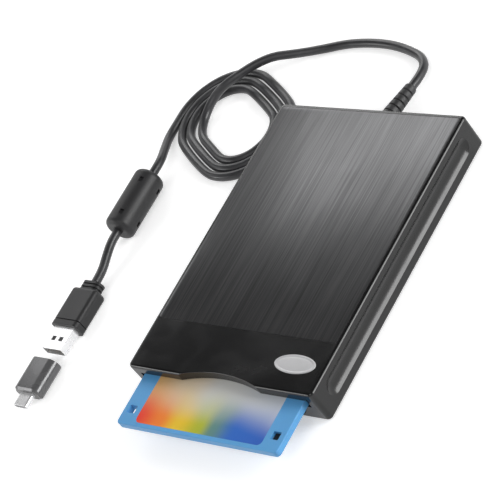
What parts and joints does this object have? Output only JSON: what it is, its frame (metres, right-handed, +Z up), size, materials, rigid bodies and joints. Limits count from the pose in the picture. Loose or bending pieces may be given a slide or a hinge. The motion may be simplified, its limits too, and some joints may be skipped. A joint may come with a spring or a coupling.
{
  "type": "external floppy disk drive",
  "caption": "Flat box-shaped portable drive with a disk slot and eject button in front, a captive data cord with ferrite bead and plug, and a slide-on plug adapter.",
  "frame": {"origin": "middle of the housing's flat underside; the feet stand 0.8 mm below it", "axes": "+Z up, -Y out of the front face with the disk slot, +X to the right seen from the front"},
  "size_m": [0.1789, 0.2181, 0.0184],
  "materials": {
    "housing_plastic": "satin moulded black",
    "brushed_plate": "dark brushed metal, grain front to back",
    "badge_metal": "bright satin",
    "foot_rubber": "matt",
    "screw_steel": "plated",
    "lens": "clear green",
    "relief_rubber": "matt",
    "chassis_steel": "zinc plated sheet",
    "circuit_board": "green solder resist",
    "bronze": "sintered",
    "copper_coils": "enamelled wire",
    "motor_metal": "turned",
    "ground_steel": "bright",
    "chip_black": "matt",
    "white_plastic": "matt",
    "inner_black": "matt",
    "head_ceramic": "polished",
    "button_plastic": "satin",
    "disk_plastic": "light blue, fine texture",
    "label_paper": "printed paper, soft colour gradient",
    "liner_fabric": "non-woven",
    "media_film": "smooth film",
    "slider_black": "matt",
    "cord_jacket": "satin",
    "overmould_black": "fine satin",
    "ferrite": "sintered",
    "contact_gold": "gilt",
    "adapter_metal": "black anodised, polished chamfer",
    "adapter_plastic": "matt"
  },
  "bodies": {
    "housing": {"top_cover": "housing_plastic", "bottom_cover": "housing_plastic", "brushed_top_plate": "brushed_plate", "badge_plate": "badge_metal", "rubber_feet": "foot_rubber", "housing_screws": "screw_steel", "frame_screws": "screw_steel", "led_lens": "lens", "strain_relief": "relief_rubber", "drive_frame": "chassis_steel", "disk_holder": "chassis_steel", "spindle_board": "circuit_board", "spindle_bearing": "bronze", "spindle_stator": "copper_coils", "stepper_motor": "motor_metal", "stepper_bracket": "chassis_steel", "guide_rod": "ground_steel", "main_board": "circuit_board", "board_chips": "chip_black", "usb_bridge_board": "circuit_board", "bridge_chip": "chip_black", "cable_headers": "white_plastic", "ribbon_cable": "white_plastic", "switch_block": "inner_black", "lever_post": "chassis_steel", "cord_lead": "cord_jacket", "cord_coil": "cord_jacket", "cord_tail": "cord_jacket", "cord_end": "cord_jacket", "ferrite_overmould": "overmould_black", "ferrite_core": "ferrite", "plug_overmould": "overmould_black", "plug_shell": "ground_steel", "plug_tongue": "white_plastic", "plug_contacts": "contact_gold"},
    "ejector": {"slide_plate": "chassis_steel", "eject_button": "button_plastic"},
    "spindle": {"spindle_rotor": "motor_metal", "spindle_chuck": "motor_metal"},
    "lead_screw": {"lead_screw": "ground_steel"},
    "carriage": {"head_carriage": "inner_black", "lower_head": "head_ceramic", "arm_hinge_pin": "ground_steel"},
    "head_arm": {"upper_head_arm": "inner_black", "upper_head": "head_ceramic"},
    "shutter_lever": {"shutter_lever": "inner_black"},
    "switch_plungers": {"switch_plungers": "white_plastic"},
    "disk": {"disk_shell_front": "disk_plastic", "disk_shell_back": "disk_plastic", "disk_label": "label_paper", "disk_liners": "liner_fabric"},
    "disk_shutter": {"disk_shutter": "ground_steel"},
    "media": {"disk_hub": "ground_steel", "disk_media": "media_film"},
    "write_protect_slider": {"write_protect_slider": "slider_black"},
    "adapter": {"adapter_body": "adapter_metal", "adapter_socket": "ground_steel", "adapter_tongue": "adapter_plastic", "type_c_shell": "ground_steel"}
  },
  "joints": [
    {"name": "disk_slide", "type": "slide", "parent": "housing", "child": "disk", "axis": [0, 1, 0], "range_m": [-0.075, 0.0253]},
    {"name": "eject_slide", "type": "slide", "parent": "housing", "child": "ejector", "axis": [0, -1, 0], "range_m": [0, 0.004]},
    {"name": "spindle_spin", "type": "hinge", "parent": "housing", "child": "spindle", "pos_m": [0, -0.0215, 0.005], "axis": [0, 0, 1], "continuous": true},
    {"name": "media_spin", "type": "hinge", "parent": "disk", "child": "media", "pos_m": [0, -0.047, 0.0105], "axis": [0, 0, 1], "continuous": true},
    {"name": "shutter_slide", "type": "slide", "parent": "disk", "child": "disk_shutter", "axis": [1, 0, 0], "range_m": [0, 0.015], "stiffness_N_per_m": 25},
    {"name": "write_protect_slide", "type": "slide", "parent": "disk", "child": "write_protect_slider", "axis": [0, 1, 0], "range_m": [0, 0.0044]},
    {"name": "head_seek", "type": "slide", "parent": "housing", "child": "carriage", "axis": [0, -1, 0], "range_m": [0, 0.0148]},
    {"name": "lead_screw_turn", "type": "hinge", "parent": "housing", "child": "lead_screw", "pos_m": [0.017, 0.03, 0.0063], "axis": [0, 1, 0], "range_deg": [0, 1776]},
    {"name": "head_arm_lower", "type": "hinge", "parent": "carriage", "child": "head_arm", "pos_m": [0, 0.0435, 0.0132], "axis": [1, 0, 0], "range_deg": [0, 0.8]},
    {"name": "shutter_lever_swing", "type": "hinge", "parent": "housing", "child": "shutter_lever", "pos_m": [0.04, 0.05, 0.01], "axis": [0, 0, -1], "range_deg": [0, 6]},
    {"name": "switch_press", "type": "slide", "parent": "housing", "child": "switch_plungers", "axis": [0, 0, -1], "range_m": [0, 0.0009], "stiffness_N_per_m": 200},
    {"name": "adapter_slide", "type": "slide", "parent": "housing", "child": "adapter", "axis": [0, 1, 0], "range_m": [-0.03, 0.0178]}
  ],
  "couplings": [
    {"joint": "lead_screw_turn", "follows": "head_seek", "rad_per_m": 2094.4}
  ]
}
